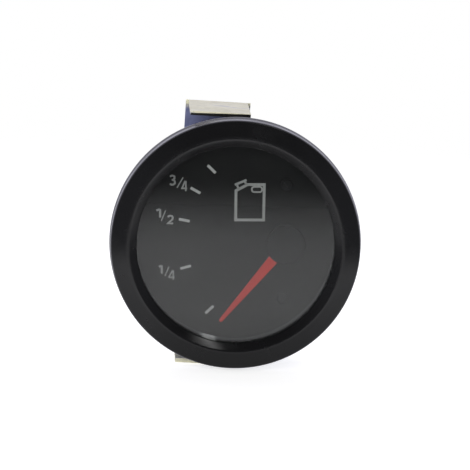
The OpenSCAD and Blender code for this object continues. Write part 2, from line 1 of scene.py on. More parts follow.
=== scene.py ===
# %% [markdown]
# # A panel fuel gauge
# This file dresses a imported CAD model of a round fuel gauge. The model is loaded as a fixed frame, and
# every surface then gets the finish of the real one. Pieces that need more detail than the CAD gives are
# made here, in metres, in the same places. The gauge's face looks along -Y, and +Z is up.

# %% Load the frame
import math

import bmesh
import bpy
from mathutils import Matrix, Vector


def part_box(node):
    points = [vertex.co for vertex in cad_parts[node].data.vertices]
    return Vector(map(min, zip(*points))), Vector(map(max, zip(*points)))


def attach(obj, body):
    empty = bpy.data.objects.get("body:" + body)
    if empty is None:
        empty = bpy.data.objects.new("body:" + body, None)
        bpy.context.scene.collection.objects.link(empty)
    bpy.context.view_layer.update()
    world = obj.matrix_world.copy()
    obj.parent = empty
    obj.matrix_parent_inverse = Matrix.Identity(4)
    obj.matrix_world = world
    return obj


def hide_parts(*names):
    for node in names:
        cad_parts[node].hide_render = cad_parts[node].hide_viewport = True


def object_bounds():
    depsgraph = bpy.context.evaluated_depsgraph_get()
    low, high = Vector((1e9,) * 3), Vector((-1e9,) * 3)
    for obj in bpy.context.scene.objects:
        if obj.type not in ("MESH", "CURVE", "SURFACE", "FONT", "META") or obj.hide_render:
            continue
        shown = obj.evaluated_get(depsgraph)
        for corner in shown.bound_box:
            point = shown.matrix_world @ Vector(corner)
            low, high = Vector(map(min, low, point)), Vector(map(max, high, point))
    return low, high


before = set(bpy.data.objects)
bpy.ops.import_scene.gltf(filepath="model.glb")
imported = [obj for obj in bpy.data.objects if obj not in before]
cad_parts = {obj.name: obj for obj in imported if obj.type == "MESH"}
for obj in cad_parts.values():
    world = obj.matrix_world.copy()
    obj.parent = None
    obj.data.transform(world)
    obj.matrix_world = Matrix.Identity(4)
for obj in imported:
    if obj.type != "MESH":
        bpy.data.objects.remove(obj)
cad_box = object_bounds()
MM = 0.001

# %% [markdown]
# ## Sizes
# The frame gives each node's box, so the sizes that other pieces have to meet are read from it. The few
# that a box can't show, such as the width of a fold, are written once, in millimetres, where they are used.
# Height means the distance towards the viewer from the plane where the bezel meets the panel.

# %% Sizes from the frame, in millimetres


def reach(node):
    """A node's lowest and highest corners in millimetres."""
    low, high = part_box(node)
    return low / MM, high / MM


bezel_low, bezel_high = reach("bezel")
dial_low, dial_high = reach("dial_plate")
lens_low = reach("lens")[0]
rotor_low, rotor_high = reach("rotor_magnet")
RIM_R = bezel_high.x
CREST_H = -bezel_low.y
LENS_TOP = -lens_low.y
DIAL_TOP = -dial_low.y
DIAL_R = dial_high.x
PIVOT_X = (rotor_low.x + rotor_high.x) / 2
print("rim", round(RIM_R, 2), "crest", round(CREST_H, 2), "dial", round(DIAL_R, 2), "pivot",
      round(PIVOT_X, 2))

# %% [markdown]
# ## Camera
# The photograph was taken from about a metre away, 8 degrees above the gauge's axis, with the gauge turned
# a little clockwise. A long lens at that distance keeps the same slight perspective. The turn goes into the
# camera, because the gauge stays square in the frame, and a small shift puts it at its place in the
# picture.

# %% Camera at the photograph's place
PICTURE_PX = 470
ORIGIN_PX = (235.04, 241.76)
PX_PER_MM = 4.194
DISTANCE_MM = 1000
AZIMUTH = math.radians(-1.8)
ELEVATION = math.radians(7.69)
ROLL = math.radians(2.06)
SENSOR_MM = 36

back = Vector((math.sin(AZIMUTH) * math.cos(ELEVATION), -math.cos(AZIMUTH) * math.cos(ELEVATION),
               math.sin(ELEVATION)))
level_right = Vector((math.cos(AZIMUTH), math.sin(AZIMUTH), 0))
level_up = back.cross(level_right)
right = level_right * math.cos(ROLL) + level_up * math.sin(ROLL)
up = level_up * math.cos(ROLL) - level_right * math.sin(ROLL)

camera_data = bpy.data.cameras.new("camera")
camera = bpy.data.objects.new("camera", camera_data)
bpy.context.scene.collection.objects.link(camera)
camera_data.sensor_width = SENSOR_MM
camera_data.lens = PX_PER_MM * DISTANCE_MM * SENSOR_MM / PICTURE_PX
camera_data.shift_x = (PICTURE_PX / 2 - ORIGIN_PX[0]) / PICTURE_PX
camera_data.shift_y = (ORIGIN_PX[1] - PICTURE_PX / 2) / PICTURE_PX
camera_data.clip_start = 0.05
turn = Matrix((right, up, back)).transposed().to_4x4()
camera.matrix_world = Matrix.Translation(back * DISTANCE_MM * MM) @ turn
bpy.context.scene.camera = camera
bpy.context.scene.view_settings.view_transform = "Standard"
print("lens", round(camera_data.lens, 1), "mm")

# %% [markdown]
# ## Helpers for materials
# Colours are written as the sRGB hex values that a paint chart gives, and one function turns them to the
# linear values that the renderer adds up. Another adds a node with its settings and links. The short ones
# after it stand for the few nodes that every finish needs, so that a material reads as a list of steps.

# %% Colour and node helpers


def colour(code):
    """Linear RGBA from an sRGB hex code."""
    channels = [int(code[i:i + 2], 16) / 255 for i in (1, 3, 5)]
    linear = [c / 12.92 if c <= 0.04045 else ((c + 0.055) / 1.055) ** 2.4 for c in channels]
    return (*linear, 1)


def add(tree, kind, sockets=None, **settings):
    """A new node; a socket's value is a number, a colour or another node's output."""
    node = tree.nodes.new(kind)
    for name, value in settings.items():
        setattr(node, name, value)
    for name, value in (sockets or {}).items():
        if isinstance(value, bpy.types.NodeSocket):
            tree.links.new(value, node.inputs[name])
        else:
            node.inputs[name].default_value = value
    return node


def surface(name, base, roughness, **sockets):
    """A material with one Principled shader, which has the constant values on its own sockets."""
    material = bpy.data.materials.new(name)
    material.use_nodes = True
    tree = material.node_tree
    tree.nodes.clear()
    shader = add(tree, "ShaderNodeBsdfPrincipled",
                 {"Base Color": colour(base), "Roughness": roughness, **sockets})
    add(tree, "ShaderNodeOutputMaterial", {"Surface": shader.outputs["BSDF"]})
    material.diffuse_color = colour(base)
    return material, tree, shader


def feed(tree, node, sockets):
    """Links outputs to a node's named inputs."""
    for name, source in sockets.items():
        tree.links.new(source, node.inputs[name])


def mix_on_output(tree, share, first, second):
    """Puts a mix of two shaders on a material's output."""
    mixed = add(tree, "ShaderNodeMixShader", {0: share, 1: first.outputs["BSDF"], 2: second.outputs["BSDF"]})
    output = next(node for node in tree.nodes if node.type == "OUTPUT_MATERIAL")
    feed(tree, output, {"Surface": mixed.outputs["Shader"]})


def maths(tree, operation, *values):
    """The result of one Math node."""
    return add(tree, "ShaderNodeMath", dict(enumerate(values)), operation=operation).outputs["Value"]


def ramp(tree, value, low, high, start=0.0, end=1.0, **settings):
    """A value from the span low to high, mapped onto the span start to end and held beyond it."""
    span = {"Value": value, "From Min": low, "From Max": high, "To Min": start, "To Max": end}
    return add(tree, "ShaderNodeMapRange", span, **settings).outputs["Result"]


def blend(tree, share, first, second, **settings):
    """A mix of two colours, each a hex code, linear values or an output."""
    ends = [colour(end) if isinstance(end, str) else end for end in (first, second)]
    sockets = {0: share, 6: ends[0], 7: ends[1]}
    return add(tree, "ShaderNodeMix", sockets, data_type="RGBA", **settings).outputs[2]


def object_place(tree):
    """A point's place in its own object, in metres."""
    return add(tree, "ShaderNodeTexCoord").outputs["Object"]


def axes_of(tree, vector):
    """The X, Y and Z outputs of a vector."""
    return add(tree, "ShaderNodeSeparateXYZ", {"Vector": vector}).outputs


def per_mm(size_mm):
    """Texture scale at which a pattern repeats about every size_mm, for coordinates in metres."""
    return 1 / (size_mm * MM)


def noise(tree, place, size_mm, detail):
    """Soft noise with grains of a real size."""
    return add(tree, "ShaderNodeTexNoise",
               {"Vector": place, "Scale": per_mm(size_mm), "Detail": detail}).outputs["Fac"]


def bump(tree, height, strength, depth_mm):
    """A surface normal that follows a height."""
    return add(tree, "ShaderNodeBump",
               {"Height": height, "Strength": strength, "Distance": depth_mm * MM}).outputs["Normal"]


print("helpers ready; mid grey is", [round(c, 3) for c in colour("#808080")[:3]])

# %% [markdown]
# ## Helpers for meshes
# Most rigid parts of a gauge are turned or stamped, so two makers are enough. One spins a profile round an
# axis and closes it into a ring. The other draws a printed line of even width along a few points, as a thin
# closed slab on the dial.

# %% Mesh helpers


def piece(name, mesh, material, body):
    """Puts a finished mesh in the scene, on its body and in its material slot."""
    obj = bpy.data.objects.new(name, mesh)
    bpy.context.scene.collection.objects.link(obj)
    mesh.materials.clear()
    mesh.materials.append(material)
    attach(obj, body)
    return obj


def spin(build, profile, steps, centre=(0, 0)):
    """Adds to a bmesh a closed ring from profile points (radius, height) in millimetres."""
    rows = []
    for i in range(steps):
        angle = 2 * math.pi * i / steps
        rows.append([build.verts.new(((centre[0] + r * math.cos(angle)) * MM, -h * MM,
                                      (centre[1] + r * math.sin(angle)) * MM)) for r, h in profile])
    for i in range(steps):
        here, after = rows[i], rows[(i + 1) % steps]
        for j in range(len(profile)):
            k = (j + 1) % len(profile)
            build.faces.new((here[j], here[k], after[k], after[j]))


def finished(name, build, sharp_degrees=35):
    """The mesh of a bmesh, with doubles merged, faces outward and soft edges smoothed."""
    bmesh.ops.remove_doubles(build, verts=build.verts, dist=0.0005 * MM)
    bmesh.ops.recalc_face_normals(build, faces=build.faces)
    mesh = bpy.data.meshes.new(name)
    build.to_mesh(mesh)
    build.free()
    mesh.shade_smooth()
    mesh.set_sharp_from_angle(angle=math.radians(sharp_degrees))
    return mesh


def arc(centre, radius, start, end, steps):
    """Points round a centre, with angles in degrees."""
    turns = [math.radians(start + (end - start) * i / steps) for i in range(steps + 1)]
    return [(centre[0] + radius * math.cos(t), centre[1] + radius * math.sin(t)) for t in turns]


print("mesh helpers ready")

# %% [markdown]
# ## Black enamel
# The bezel is rolled from sheet steel and stoved in black enamel. The coat is glossy and nearly smooth,
# with the fine ripple that enamel keeps as it dries, about half a millimetre from crest to crest, and a
# little dust that dulls it in patches. The ripple is a low bump from noise, and the dust changes only the
# roughness.

# %% Stoved black enamel


def stoved_enamel():
    """Glossy black with a fine ripple, dulled in patches by dust."""
    material, tree, shader = surface("stoved_black_enamel", "#131314", 0.24)
    place = object_place(tree)
    dust = noise(tree, place, 5, 4.0)
    ripple = noise(tree, place, 0.6, 1.0)
    feed(tree, shader, {"Roughness": ramp(tree, dust, 0.35, 0.7, 0.16, 0.3),
                        "Normal": bump(tree, ripple, 0.3, 0.01)})
    return material


black_enamel = stoved_enamel()
print("made", black_enamel.name)

# %% [markdown]
# ## Bezel
# The bezel is one sheet. It is rolled over the case's flange behind, where a bead stiffens its edge, and
# over the glass in front. Its face rises as a shallow cone from a crisp outer edge, rounds off at a crest
# and then drops along a sloping lip to the glass. In gloss black every flat step of a coarse profile would
# show, so the ring is spun here with fine curves, in the space of its CAD node, which it replaces.

# %% Spin the bezel
SHEET = 0.8
BEAD_R = 0.9
BEAD_STEP = 0.3
BEAD_RUN = 1.8
BEAD_RUN_STEPS = 10
WALL_R = RIM_R - BEAD_STEP
CORNER_R = 1.32
CORNER_TOP = 5.29
CORNER_TURN = 38
EDGE_TURN = 60
CRISP_R = 0.3
CONE_SHARE = 0.785
FACE_W = 4.5
LIP_W = 2.0
CREST_R = RIM_R - FACE_W
SIGHT_R = CREST_R - LIP_W
CREST_ROUND = 0.8
EDGE_ROUND = 0.12
LIP_TURN = 42
COLLAR_R = 26.7
FOLD_W = 0.9
FACE_STEPS = 28


def climb(share):
    """How far the face has risen at a share of its width: a cone, then a parabola that ends level."""
    full = 1 - (1 - CONE_SHARE) / 2
    if share < CONE_SHARE:
        return share / full
    left = 1 - share
    return 1 - left * left / (2 * (1 - CONE_SHARE)) / full


def face_line(lower):
    """Points of the bezel's face from the crisp edge to the crest, or of a line this far under it."""
    start_r, start_h = crisp_arc[-1]
    shares = [i / FACE_STEPS for i in range(1, FACE_STEPS + 1)]
    return [(start_r + (CREST_R - start_r) * s, start_h - lower + (CREST_H - start_h) * climb(s))
            for s in shares]


corner_arc = arc((WALL_R - CORNER_R, CORNER_TOP), CORNER_R, 0, CORNER_TURN, 12)
crisp_at = arc((WALL_R - CORNER_R, CORNER_TOP), CORNER_R - CRISP_R, CORNER_TURN, CORNER_TURN, 1)[0]
crisp_arc = arc(crisp_at, CRISP_R, CORNER_TURN, EDGE_TURN, 5)
crest_arc = arc((CREST_R, CREST_H - CREST_ROUND), CREST_ROUND, 90, 90 + LIP_TURN, 12)
lip_run = crest_arc[-1][0] - SIGHT_R - EDGE_ROUND * (1 - math.sin(math.radians(LIP_TURN)))
EDGE_H = (crest_arc[-1][1] - lip_run * math.tan(math.radians(LIP_TURN))
          - EDGE_ROUND * math.cos(math.radians(LIP_TURN)))
outside = ([(COLLAR_R, 0)]
           + arc((RIM_R - BEAD_R, BEAD_R), BEAD_R, -90, 0, 12)
           + [(RIM_R - BEAD_STEP * (1 - math.cos(math.pi * i / BEAD_RUN_STEPS)) / 2,
               BEAD_R + BEAD_RUN * i / BEAD_RUN_STEPS) for i in range(1, BEAD_RUN_STEPS + 1)]
           + corner_arc + crisp_arc[1:]
           + face_line(0)
           + crest_arc[1:]
           + arc((SIGHT_R + EDGE_ROUND, EDGE_H), EDGE_ROUND, 90 + LIP_TURN, 180, 6)
           + [(SIGHT_R, LENS_TOP)])
inside = ([(SIGHT_R + FOLD_W, LENS_TOP), (CREST_R - FOLD_W / 2, CREST_H - FOLD_W - SHEET)]
          + face_line(SHEET)[::-1]
          + [(WALL_R - SHEET, CORNER_TOP), (WALL_R - SHEET, SHEET), (COLLAR_R, SHEET)])
build = bmesh.new()
spin(build, outside + inside, 256)
bezel = piece("bezel_ring", finished("bezel_ring", build), black_enamel, "gauge")
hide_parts("bezel")
print("bezel ring", len(bezel.data.polygons), "faces")

# %% [markdown]
# ## Glass
# A flat disc of float glass lies under the lip. It mirrors about 4 parts in 100 at each face, and that
# faint mirror is what greys the lower dial in the photograph. A glass shader alone would keep the lamps'
# light off the dial, so for shadow rays the pane is see-through.

# %% Float glass and the lamp's bulb


def clear_glass(name, tint, ior):
    """Smooth clear glass that lets the lamps' light through."""
    material, tree, shader = surface(name, tint, 0.0, IOR=ior, **{"Transmission Weight": 1.0})
    clear = add(tree, "ShaderNodeBsdfTransparent", {"Color": colour(tint)})
    mix_on_output(tree, add(tree, "ShaderNodeLightPath").outputs["Is Shadow Ray"], shader, clear)
    return material


def dress(material, *nodes):
    """Gives CAD nodes a finish by way of their own material slots."""
    for node in nodes:
        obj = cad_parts[node]
        if not obj.material_slots:
            obj.data.materials.append(material)
        for place in obj.material_slots:
            place.material = material


dress(clear_glass("float_glass", "#fbfdfc", 1.52), "lens")
dress(clear_glass("soft_bulb_glass", "#f6f4ee", 1.5), "bulb_glass")
print("glass in place")

# %% [markdown]
# ## Dial
# The dial is thin aluminium with a matt black printing lacquer, which scatters light evenly and shows only
# a fine grain. Real grain would be too fine to see here, so it is drawn 0.4 mm wide.

# %% Matt dial lacquer


def matt_lacquer():
    """Matt black with a fine grain and wide clouds of two near shades."""
    material, tree, shader = surface("matt_printing_lacquer", "#111111", 0.7, **{"Specular IOR Level": 0.15})
    place = object_place(tree)
    grain = noise(tree, place, 0.4, 2.0)
    amount = maths(tree, "ADD", grain, noise(tree, place, 12, 2.0))
    feed(tree, shader, {"Base Color": blend(tree, ramp(tree, amount, 0.7, 1.3), "#0f0f0f", "#141413"),
                        "Normal": bump(tree, grain, 0.2, 0.01)})
    return material


dress(matt_lacquer(), "dial_plate")
print("dial lacquered")

# %% [markdown]
# ## Printing ink and the scale
# The scale, the figures and the outline of a fuel can are screen printed in pale grey ink. The ink stands
# about 0.03 mm proud, so each mark is a thin slab on the dial. The five scale marks follow one rule: bars
# of one size that point at the scale's centre, which the screen put 0.3 mm above the pointer's axis.
# Geometry Nodes place a bar at each point of a small mesh and turn it by that rule.

# %% Ink and the scale marks
INK_H = 0.03
SCALE_R = 24.57
SCALE_Z = 0.3
MARK_LEN = 2.64
MARK_W = 0.64
MARK_ANGLES = (-44.7, -17.05, 9.65, 27.5, 42.5)


def printing_ink(name, shades):
    """Screen ink that covers a little unevenly."""
    material, tree, shader = surface(name, shades[0], 0.6)
    cover = noise(tree, object_place(tree), 0.5, 2.0)
    feed(tree, shader, {"Base Color": blend(tree, cover, *shades)})
    return material


def new_tree(name, inputs):
    """An empty node tree with a geometry input, named number inputs and a geometry output."""
    tree = bpy.data.node_groups.new(name, "GeometryNodeTree")
    face = tree.interface
    face.new_socket("Geometry", in_out="INPUT", socket_type="NodeSocketGeometry")
    for label, value in inputs.items():
        kind = "NodeSocketVector" if isinstance(value, tuple) else "NodeSocketFloat"
        face.new_socket(label, in_out="INPUT", socket_type=kind)
    face.new_socket("Geometry", in_out="OUTPUT", socket_type="NodeSocketGeometry")
    return tree, add(tree, "NodeGroupInput").outputs


def end_tree(tree, geometry, material):
    """Closes a tree: copies made real, and the material set."""
    real = add(tree, "GeometryNodeRealizeInstances", {"Geometry": geometry})
    dressed = add(tree, "GeometryNodeSetMaterial",
                  {"Geometry": real.outputs["Geometry"], "Material": material})
    add(tree, "NodeGroupOutput", {"Geometry": dressed.outputs["Geometry"]})


def grown(name, points, tree, inputs):
    """Runs a tree on a mesh of points in millimetres, and returns the plain mesh it makes."""
    seed_mesh = bpy.data.meshes.new(name + "_seed")
    seed_mesh.from_pydata([Vector(p) * MM for p in points], [], [])
    seed = bpy.data.objects.new(name + "_seed", seed_mesh)
    bpy.context.scene.collection.objects.link(seed)
    modifier = seed.modifiers.new("nodes", "NODES")
    modifier.node_group = tree
    for item in tree.interface.items_tree:
        if item.in_out == "INPUT" and item.name in inputs:
            modifier[item.identifier] = inputs[item.name]
    bpy.context.view_layer.update()
    mesh = bpy.data.meshes.new_from_object(seed.evaluated_get(bpy.context.evaluated_depsgraph_get()))
    bpy.data.objects.remove(seed)
    mesh.name = name
    return mesh


def bars_towards_point(material, inputs):
    """A bar at every point, with its length along the line to a centre in the dial's plane."""
    tree, given = new_tree("bars_towards_point", inputs)
    size = add(tree, "ShaderNodeCombineXYZ",
               {"X": given["Length"], "Y": given["Depth"], "Z": given["Width"]})
    bar = add(tree, "GeometryNodeMeshCube", {"Size": size.outputs["Vector"]})
    spot = add(tree, "GeometryNodeInputPosition").outputs["Position"]
    arm = add(tree, "ShaderNodeVectorMath", {0: given["Centre"], 1: spot}, operation="SUBTRACT")
    turned = add(tree, "FunctionNodeAlignRotationToVector", {"Vector": arm.outputs["Vector"]}, axis="X",
                 pivot_axis="Y")
    placed = add(tree, "GeometryNodeInstanceOnPoints", {"Points": given["Geometry"],
                                                        "Instance": bar.outputs["Mesh"],
                                                        "Rotation": turned.outputs["Rotation"]})
    end_tree(tree, placed.outputs["Instances"], material)
    return tree


ink = printing_ink("pale_grey_printing_ink", ("#7b7b7b", "#999998"))
thin_ink = printing_ink("thinly_printed_grey_ink", ("#6a6a6a", "#858584"))
ink_mid = -(DIAL_TOP + INK_H / 2)
mark_sizes = {"Centre": (PIVOT_X * MM, ink_mid * MM, SCALE_Z * MM), "Length": MARK_LEN * MM,
              "Width": MARK_W * MM, "Depth": INK_H * MM}
mark_points = [(PIVOT_X - SCALE_R * math.cos(math.radians(a)), ink_mid,
                SCALE_Z + SCALE_R * math.sin(math.radians(a)))
               for a in MARK_ANGLES]
marks = grown("scale_marks", mark_points, bars_towards_point(ink, mark_sizes), mark_sizes)
piece("scale_marks", marks, ink, "gauge")
print("scale marks", len(marks.polygons), "faces")

# %% [markdown]
# ## Figures and the fuel can
# The figures are plain bold numbers beside the scale marks, and the can is an outline with a neck, a cap
# and a handle. Both are printed a little thinner than the marks, so the black shows through. A screen's
# stencil is cut as strokes of even width, so each shape is a line through a few points. The figures are
# drawn once in a box one unit wide and high, and stretched to their places. They and the can stand nearly
# two degrees askew in the bezel, as the photograph shows, so they are drawn level and turned by that much.

# %% Strokes of ink
PRINT_TURN = Matrix.Rotation(math.radians(1.9), 2)


def stroke(build, points, width, closed=False):
    """Adds to a bmesh a slab of even width along points (x, z) in millimetres, with mitred corners."""
    count = len(points)
    places = [PRINT_TURN @ Vector(p) for p in points]
    stations = []
    for i, place in enumerate(places):
        before = places[i - 1] if closed or i > 0 else None
        after = places[(i + 1) % count] if closed or i < count - 1 else None
        into = (place - before).normalized() if before else (after - place).normalized()
        out = (after - place).normalized() if after else into
        normal = Vector((-(into + out).y, (into + out).x)).normalized()
        across = normal * (width / 2 / max(0.5, normal.dot(Vector((-into.y, into.x)))))
        stations.append([build.verts.new((q.x * MM, -h * MM, q.y * MM))
                         for q, h in ((place - across, DIAL_TOP), (place + across, DIAL_TOP),
                                      (place + across, DIAL_TOP + INK_H),
                                      (place - across, DIAL_TOP + INK_H))])
    for i in range(count if closed else count - 1):
        here, after = stations[i], stations[(i + 1) % count]
        for j in range(4):
            k = (j + 1) % 4
            build.faces.new((here[j], here[k], after[k], after[j]))
    if not closed:
        build.faces.new(stations[0])
        build.faces.new(reversed(stations[-1]))


def softened(points, radius):
    """A closed line with each corner cut to a small curve of three points."""
    places = [Vector(p) for p in points]
    line = []
    for i, place in enumerate(places):
        towards = (places[i - 1] - place).normalized() * radius
        onwards = (places[(i + 1) % len(places)] - place).normalized() * radius
        line += [place + towards, place + (towards + onwards) * 0.28, place + onwards]
    return line


FIGURES = {
    "1": [[(1, 0), (1, 1)], [(0, 0.84), (0.9, 0.98)]],
    "2": [[(0.03, 0.8), (0.17, 0.94), (0.5, 1), (0.83, 0.92), (0.95, 0.72), (0.83, 0.5), (0.4, 0.22), (0, 0),
           (1, 0)]],
    "3": [[(0.03, 0.87), (0.25, 0.98), (0.55, 1), (0.87, 0.9), (0.88, 0.68), (0.65, 0.54), (0.35, 0.52)],
          [(0.65, 0.54), (0.93, 0.4), (0.97, 0.17), (0.65, 0.02), (0.3, 0), (0, 0.13)]],
    "4": [[(1, 0.28), (0, 0.28), (0.62, 1)], [(0.74, 0), (0.74, 1)]],
    "/": [[(0, 0), (1, 1)]],
}
FIGURE_STROKES = {"1": 0.52, "2": 0.46, "3": 0.44, "4": 0.36, "/": 0.27}
FIGURE_BOXES = (
    ("3", -15.71, 13.12, -14.05, 15.78),
    ("/", -13.95, 12.46, -12.22, 15.24),
    ("4", -12.79, 11.62, -11.21, 14.47),
    ("1", -18.98, 5.21, -17.58, 7.75),
    ("/", -17.70, 4.50, -16.38, 7.33),
    ("2", -16.24, 3.82, -14.50, 6.14),
    ("1", -18.42, -8.35, -17.19, -5.84),
    ("/", -16.84, -8.85, -15.57, -6.21),
    ("4", -15.92, -9.79, -14.15, -7.09),
)
build = bmesh.new()
for figure, x0, z0, x1, z1 in FIGURE_BOXES:
    width = FIGURE_STROKES[figure]
    for line in FIGURES[figure]:
        stroke(build, [(x0 + width / 2 + (x1 - x0 - width) * u, z0 + width / 2 + (z1 - z0 - width) * v)
                       for u, v in line], width)
figures = piece("dial_figures", finished("dial_figures", build), thin_ink, "gauge")

CAN_STROKE = 0.66
NECK_STROKE = 0.5
CAP_STROKE = 0.55
HANDLE_STROKE = 0.4
CAN = [(0.22, 4.88), (6.9, 4.84), (7.02, 13.36), (3.05, 13.38), (0.28, 11.92)]
HANDLE = [(4.06, 11.58), (6.5, 11.58), (6.5, 12.83), (4.06, 12.83)]
build = bmesh.new()
stroke(build, CAN, CAN_STROKE, closed=True)
stroke(build, softened(HANDLE, 0.5), HANDLE_STROKE, closed=True)
stroke(build, [(0.0, 13.32), (2.78, 14.48)], CAP_STROKE)
stroke(build, [(0.92, 12.28), (0.55, 13.2)], NECK_STROKE)
stroke(build, [(2.82, 13.3), (2.36, 14.1)], NECK_STROKE)
fuel_can = piece("fuel_can_symbol", finished("fuel_can_symbol", build), thin_ink, "gauge")
print("figures", len(figures.data.polygons), "can", len(fuel_can.data.polygons), "faces")

# %% [markdown]
# ## Grained finishes
# Most of the other pieces are moulded, plated or bare metal. Up close each differs in colour, gloss and
# height by small amounts, and always in grains of some size. One maker mixes two shades by noise, drives
# the roughness with the same noise, and raises a bump. The size of the grain and the three strengths say
# which material it is.

# %% Maker of grained finishes
GRAIN_SPAN = (0.3, 0.7)


def grained(name, shades, grain_mm, roughness, height_mm, **sockets):
    """A material whose shade, roughness and height follow one noise with grains of a real size."""
    material, tree, shader = surface(name, shades[0], roughness[0], **sockets)
    grain = noise(tree, object_place(tree), grain_mm, 3.0)
    feed(tree, shader, {"Base Color": blend(tree, ramp(tree, grain, *GRAIN_SPAN), *shades),
                        "Roughness": ramp(tree, grain, *GRAIN_SPAN, *roughness),
                        "Normal": bump(tree, grain, 0.5, height_mm)})
    return material


print("maker ready")

# %% [markdown]
# ## Pointer and cap
# The pointer is thin sheet sprayed with a warm signal red, a little uneven because it is thin. Its cap is
# moulded plastic with a fine spark-eroded texture that keeps it matt under the glass.

# %% Pointer red and moulded cap
pointer_red = grained("sprayed_red_lacquer", ("#8b1a12", "#982219"), 0.7, (0.4, 0.55), 0.01)
cap_plastic = grained("spark_textured_abs", ("#0b0b0b", "#101010"), 0.25, (0.6, 0.75), 0.02,
                      **{"Specular IOR Level": 0.2})
dress(pointer_red, "pointer")
dress(cap_plastic, "pointer_cap")
print("pointer dressed")

# %% [markdown]
# ## Blackened parts in front
# The spacer ring is moulded in glossy black plastic, with a flared foot that catches the light inside the
# lower edge of the glass; its base is dark grey rather than black, as painted light for the pale band there.
# The dial's two screws are steel with a black oxide finish, so that they don't shine under the glass. The
# seal is soft rubber with talc in its pores.

# %% Spacer, dial screws and seal
FOOT_R = SIGHT_R + 0.15
FLARE_W = 1.1
FLARE_LOW = DIAL_TOP + 0.06
FLARE_HIGH = FLARE_LOW + 0.99
SPACER_TOP = -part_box("spacer_ring")[0].y / MM
# Dark grey base, lighter than black plastic: painted light for the pale band inside the lower glass.
spacer_black_with_painted_light = grained("polished_black_polystyrene_painted_light", ("#262627", "#2c2c2d"), 0.5, (0.06, 0.1), 0.002,
                       **{"Specular IOR Level": 0.9})
build = bmesh.new()
spin(build, [(FOOT_R, DIAL_TOP), (FOOT_R, FLARE_LOW), (FOOT_R + FLARE_W, FLARE_HIGH),
             (FOOT_R + FLARE_W, SPACER_TOP), (DIAL_R, SPACER_TOP), (DIAL_R, DIAL_TOP)], 192)
spacer = piece("flared_spacer", finished("flared_spacer", build), spacer_black_with_painted_light, "gauge")
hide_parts("spacer_ring")
dress(grained("black_oxide_steel", ("#0b0b0b", "#171717"), 0.2, (0.45, 0.6), 0.01,
              **{"Specular IOR Level": 0.3}), "dial_screws")
dress(grained("black_nitrile_rubber", ("#141414", "#242423"), 0.3, (0.7, 0.9), 0.03), "lens_seal")
print("blackened parts dressed")

# %% [markdown]
# ## Zinc plate
# Case, bracket, studs, washers and screws are mild steel with bright zinc plate. Clear passivate leaves it
# bluish. Far from the middle, which on this bracket is the two legs, the colour turns cream and lighter:
# painted light for the legs' lit tops. Zinc is a metal, but its crystals of about a millimetre and the
# passivate scatter much of the light, so it is set about half metallic. Front faces at the upper leg's cut
# end are painted near black: painted shade. The case and the small parts keep a greyer base, while the
# bracket's base is darker and bluer: painted shade for its back plate.

# %% Zinc plate, with painted shade and painted light
PAINTED_LIGHT_WANDER = 6 * MM
PAINTED_LIGHT_SPAN = (31 * MM, 32.5 * MM)
PAINTED_SHADE_LIMITS = (("GREATER_THAN", "Z", 28 * MM), ("LESS_THAN", "Z", 30.1 * MM), ("LESS_THAN", "Y", 6 * MM))
FACES_FRONT = -0.9


def zinc_plate(name, cool, metallic):
    """Zinc in crystals, with painted light in cream far out and painted shade at the upper leg's cut end."""
    material, tree, shader = surface(name, cool, 0.4, Metallic=metallic)
    place = object_place(tree)
    axes = axes_of(tree, place)
    cloud = noise(tree, place, 7, 3.0)
    # Far from the middle the colour turns cream and lighter: painted light for the legs' lit tops.
    painted_light_reach = maths(tree, "MULTIPLY_ADD", cloud, PAINTED_LIGHT_WANDER, maths(tree, "ABSOLUTE", axes["Z"]))
    painted_light_cast = blend(tree, ramp(tree, painted_light_reach, *PAINTED_LIGHT_SPAN), cool, "#fffbdc")
    crystals = add(tree, "ShaderNodeTexVoronoi", {"Vector": place, "Scale": per_mm(1.1)}).outputs["Color"]
    plated = blend(tree, 1.0, painted_light_cast, blend(tree, crystals, "#eaeaea", "#ffffff"), blend_type="MULTIPLY")
    # Front faces of the upper leg's end, 28 to 30.1 mm up, turn near black: painted shade.
    normal = axes_of(tree, add(tree, "ShaderNodeNewGeometry").outputs["True Normal"])
    painted_shade_end = maths(tree, "LESS_THAN", normal["Y"], FACES_FRONT)
    for operation, axis, limit in PAINTED_SHADE_LIMITS:
        painted_shade_end = maths(tree, "MULTIPLY", painted_shade_end, maths(tree, operation, axes[axis], limit))
    feed(tree, shader, {"Base Color": blend(tree, painted_shade_end, plated, "#262524"),
                        "Roughness": ramp(tree, cloud, 0.3, 0.7, 0.3, 0.48),
                        "Normal": bump(tree, cloud, 0.4, 0.05)})
    return material


zinc = zinc_plate("passivated_zinc_plate", "#a3a7b4", 0.55)
# The bracket's base is darker and bluer than the case's: painted shade for its back plate.
dress(zinc_plate("bluish_zinc_plate_painted_shade", "#8a90b8", 0.45), "bracket")
dress(zinc, "case_shell", "lock_washers", "pillar_screws", "lamp_shell")
print("zinc plated")

# %% [markdown]
# ## Threaded studs
# The two studs behind the case are M4 screws, and the nuts run on their thread. A thread is one ridge that
# climbs 0.7 mm in each turn, so every point's radius follows from its height and its angle. Geometry Nodes
# bend a flat grid round the axis by that rule and close its ends, and the head and shoulder are spun.

# %% Studs with a rolled thread
STUD_X = -5.2
STUD_Z = 13
STUD_R = 2.0
THREAD_ROOT = 1.6
THREAD_PITCH = 0.7
FLANK_SPAN = (0.06, 0.44)
TURN_STEPS = 32
ROWS_PER_TURN = 8


